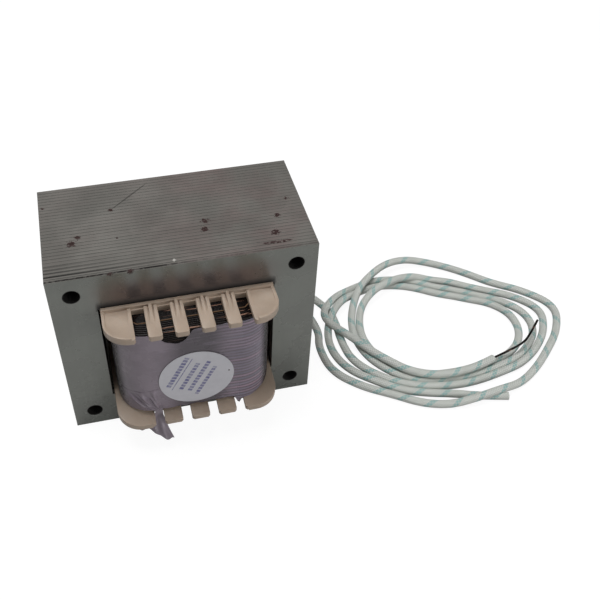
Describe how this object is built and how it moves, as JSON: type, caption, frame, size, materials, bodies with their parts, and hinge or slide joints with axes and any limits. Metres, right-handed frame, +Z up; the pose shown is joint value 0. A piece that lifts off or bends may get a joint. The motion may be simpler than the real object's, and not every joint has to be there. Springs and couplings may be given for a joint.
{
  "type": "electrical transformer",
  "caption": "Open-frame mains transformer: laminated E and I steel core with corner bolt holes, combed bobbin, film-wrapped winding and sleeved lead wires.",
  "frame": {"origin": "centre of the core's base, on the surface that the transformer stands on", "axes": "+X along the core's width, +Y from the labelled front to the back through the stack of sheets, +Z up the centre leg"},
  "size_m": [0.262, 0.125, 0.095],
  "materials": {
    "core_steel": "grey-green oxide and thin varnish, semi-gloss, with sheet edges and small rust spots on top",
    "bobbin_plastic": "cream moulded nylon, satin",
    "enamelled_wire": "dark brown enamel over copper, glossy",
    "insulation_paper": "thin insulating film and paper, matte",
    "wrapping_film": "clear film over dark wire, glossy, with faint ridges",
    "label_paper": "white paper, matte",
    "glass_sleeve": "braided glass sleeve, varnished, off-white with fine teal tracers"
  },
  "bodies": {
    "root": {"e_lamination_bundle_1": "core_steel", "e_lamination_bundle_2": "core_steel", "e_lamination_bundle_3": "core_steel", "e_lamination_bundle_4": "core_steel", "e_lamination_bundle_5": "core_steel", "i_lamination_bundle_1": "core_steel", "i_lamination_bundle_2": "core_steel", "i_lamination_bundle_3": "core_steel", "i_lamination_bundle_4": "core_steel", "i_lamination_bundle_5": "core_steel", "bobbin": "bobbin_plastic", "primary_winding": "enamelled_wire", "winding_insulation": "insulation_paper", "secondary_winding": "enamelled_wire", "outer_film_wrap": "wrapping_film", "round_label": "label_paper", "lead_a_sleeve": "glass_sleeve", "lead_b_sleeve": "glass_sleeve", "lead_coil": "glass_sleeve", "lead_a_bare_wire": "enamelled_wire"}
  },
  "joints": []
}
